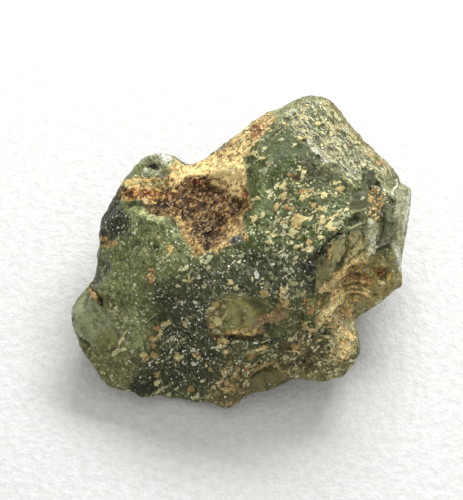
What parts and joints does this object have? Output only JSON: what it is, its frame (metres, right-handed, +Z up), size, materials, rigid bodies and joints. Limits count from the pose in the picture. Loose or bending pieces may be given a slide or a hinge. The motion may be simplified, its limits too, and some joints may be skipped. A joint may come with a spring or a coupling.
{
  "type": "moldavite",
  "caption": "Rough piece of natural green tektite glass, etched and pitted, with a domed plate on one side, a round knob, folds, ledges and clay in its hollows, lying on its flattest side.",
  "frame": {"origin": "middle of the box's bottom, on the surface that the stone lies on", "axes": "+X to the right along the stone's length, +Y away from the viewer, +Z up, out of the flat side that it lies on"},
  "size_m": [0.032, 0.0278, 0.0158],
  "materials": {
    "tektite_glass": "satin"
  },
  "bodies": {
    "root": {"moldavite": "tektite_glass"}
  },
  "joints": []
}
